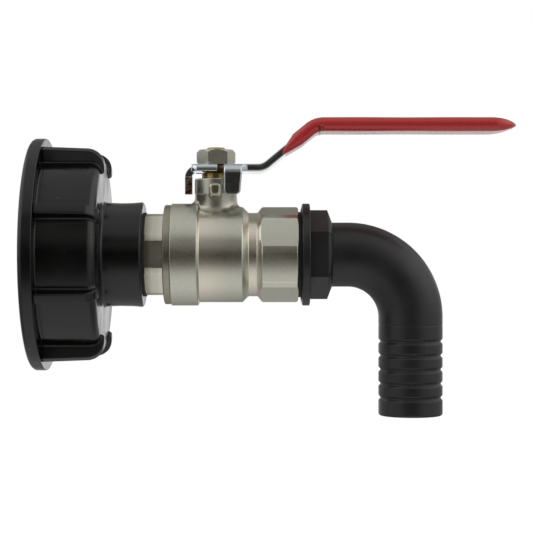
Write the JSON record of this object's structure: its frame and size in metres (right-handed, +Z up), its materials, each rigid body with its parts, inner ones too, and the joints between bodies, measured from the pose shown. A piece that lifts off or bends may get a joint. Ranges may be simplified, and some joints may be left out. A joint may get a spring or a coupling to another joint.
{
  "type": "lever ball valve",
  "caption": "Lever ball valve with a ribbed screw cap for a tank outlet on one end and an angled ribbed hose tail on the other; the lever turns a quarter turn to shut it.",
  "frame": {"origin": "centre of the cap's mouth, on the flow axis, in the plane of the cap's rim", "axes": "+X along the flow, from the tank towards the hose; +Z up, on the lever's side"},
  "size_m": [0.1998, 0.096, 0.123],
  "materials": {
    "cap_plastic": "moulded, satin to glossy",
    "rubber": "matt",
    "nickel_brass": "nickel plated, blasted casting",
    "ptfe": "waxy",
    "ball_chrome": "polished",
    "bare_brass": "turned",
    "lever_steel": "bright plated",
    "grip_vinyl": "dipped, glossy",
    "nut_steel": "nickel plated",
    "elbow_plastic": "moulded, satin"
  },
  "bodies": {
    "valve": {"ibc_cap": "cap_plastic", "cap_gasket": "rubber", "collar_gasket": "rubber", "end_connector": "nickel_brass", "joint_o_ring": "rubber", "valve_body": "nickel_brass", "inlet_seat": "ptfe", "outlet_seat": "ptfe", "thrust_washer": "ptfe", "packing_ring_lower": "ptfe", "packing_ring_upper": "ptfe", "gland_nut": "bare_brass", "elbow": "elbow_plastic", "elbow_gasket": "rubber"},
    "lever_set": {"ball": "ball_chrome", "stem": "bare_brass", "stem_o_ring": "rubber", "lever": "lever_steel", "lever_grip": "grip_vinyl", "lever_nut": "nut_steel"}
  },
  "joints": [
    {"name": "lever_turn", "type": "hinge", "parent": "valve", "child": "lever_set", "pos_m": [0.0754, 0, 0.0341], "axis": [0, 0, 1], "range_deg": [0, 90]}
  ]
}
